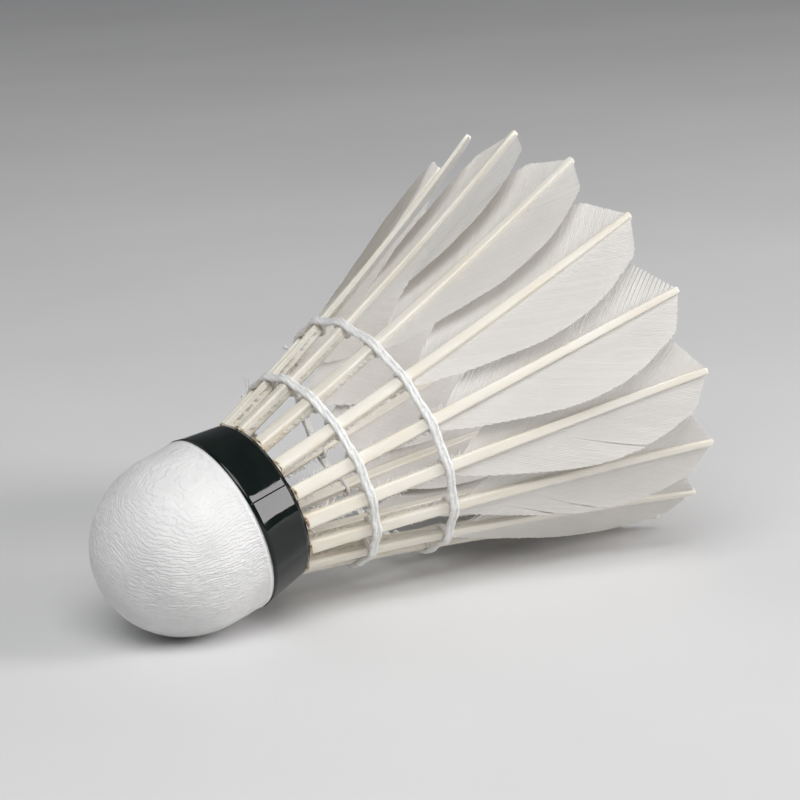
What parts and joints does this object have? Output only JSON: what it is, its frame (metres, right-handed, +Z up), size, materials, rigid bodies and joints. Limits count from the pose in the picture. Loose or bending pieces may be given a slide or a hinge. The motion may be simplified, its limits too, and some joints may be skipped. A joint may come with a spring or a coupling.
{
  "type": "badminton shuttlecock",
  "caption": "Feather shuttlecock: leather-capped cork base with a tape band, and a flared skirt of overlapping feathers tied by two rows of thread, lying on its side.",
  "frame": {"origin": "centre of the lying shuttlecock's box, on the table it rests on", "axes": "+Z up from the table, +X from the cork towards the mouth of the skirt, +Y across"},
  "size_m": [0.0926, 0.0672, 0.0648],
  "materials": {
    "cork": "ground agglomerated cork",
    "white_leather": "fine flowing grain, satin",
    "gloss_tape": "high gloss film",
    "glue": "dried, uneven",
    "thread": "glued cotton thread",
    "quill": "keratin, satin",
    "vane": "fine parallel barbs, slightly translucent"
  },
  "bodies": {
    "root": {"base_band": "gloss_tape", "base_glue": "glue", "cork_core": "cork", "feather_01_shaft": "quill", "feather_01_vane": "vane", "feather_02_shaft": "quill", "feather_02_vane": "vane", "feather_03_shaft": "quill", "feather_03_vane": "vane", "feather_04_shaft": "quill", "feather_04_vane": "vane", "feather_05_shaft": "quill", "feather_05_vane": "vane", "feather_06_shaft": "quill", "feather_06_vane": "vane", "feather_07_shaft": "quill", "feather_07_vane": "vane", "feather_08_shaft": "quill", "feather_08_vane": "vane", "feather_09_shaft": "quill", "feather_09_vane": "vane", "feather_10_shaft": "quill", "feather_10_vane": "vane", "feather_11_shaft": "quill", "feather_11_vane": "vane", "feather_12_shaft": "quill", "feather_12_vane": "vane", "feather_13_shaft": "quill", "feather_13_vane": "vane", "feather_14_shaft": "quill", "feather_14_vane": "vane", "feather_15_shaft": "quill", "feather_15_vane": "vane", "feather_16_shaft": "quill", "feather_16_vane": "vane", "leather_cap": "white_leather", "lower_thread": "thread", "upper_thread": "thread"}
  },
  "joints": []
}
